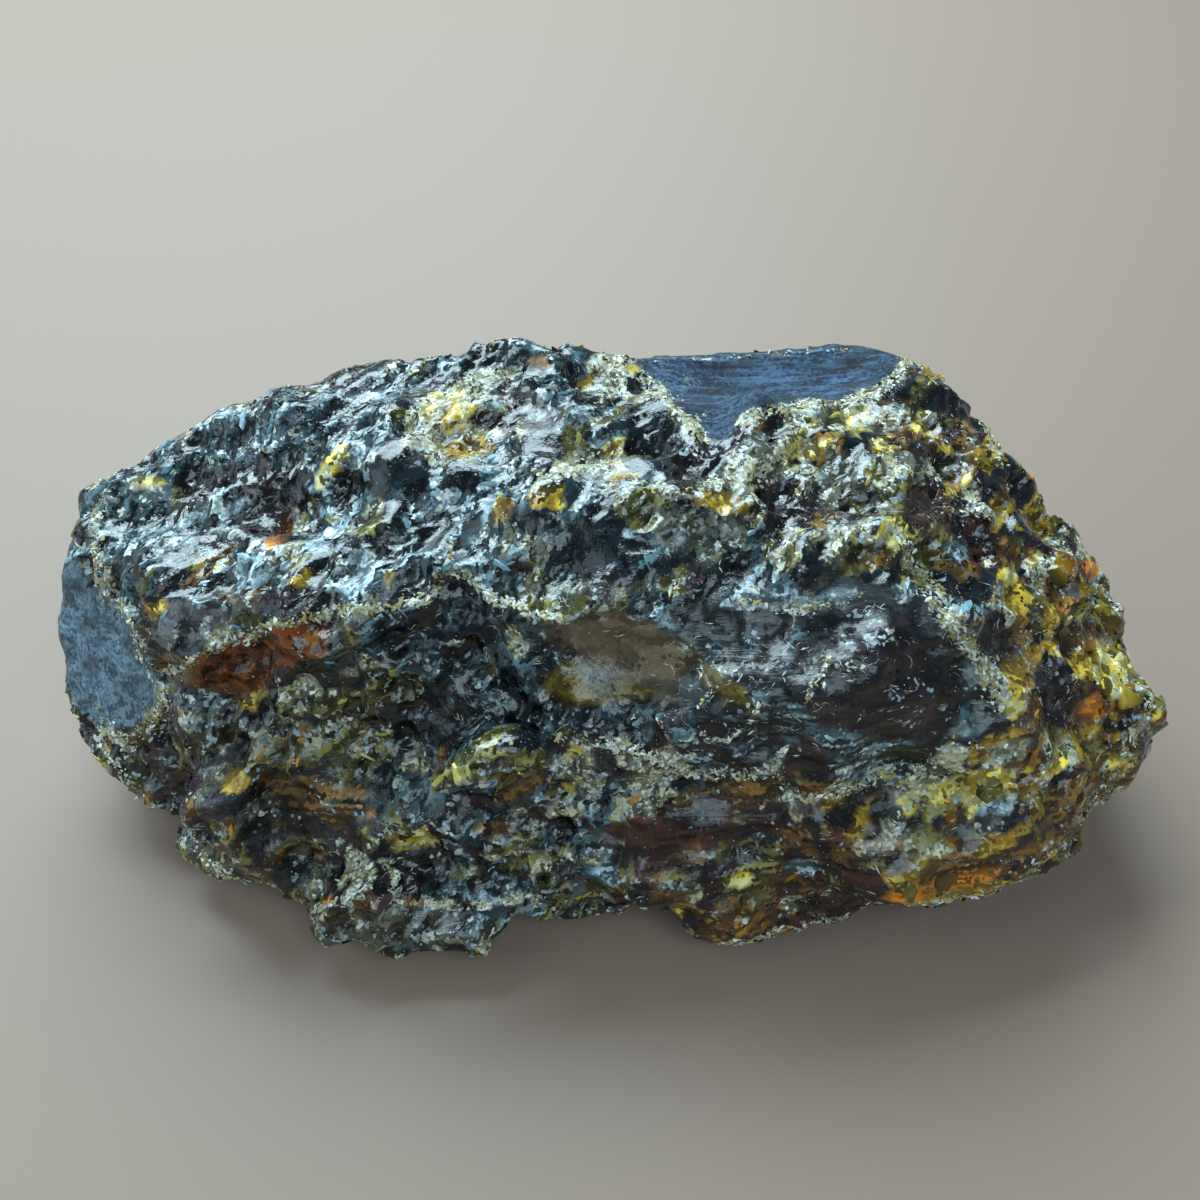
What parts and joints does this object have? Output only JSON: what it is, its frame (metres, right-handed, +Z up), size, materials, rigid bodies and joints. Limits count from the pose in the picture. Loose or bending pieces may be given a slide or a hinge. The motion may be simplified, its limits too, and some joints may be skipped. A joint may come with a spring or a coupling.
{
  "type": "raw amber lump",
  "caption": "Loose lump of dark raw amber with a broken, glossy, crumbly surface, golden thin edges and remains of grey skin; it rests on a small flat spot.",
  "frame": {"origin": "on the surface that the lump rests on, under the middle of its length and depth", "axes": "+X along the lump, to the right when its front face is seen; +Y from the front face to the back; +Z up"},
  "size_m": [0.1498, 0.0842, 0.0525],
  "materials": {
    "amber": "broken resin: glossy shell-shaped breaks, dark brown and see-through only where thin, with golden, crusted and slate-grey areas"
  },
  "bodies": {
    "root": {"amber_lump": "amber"}
  },
  "joints": []
}
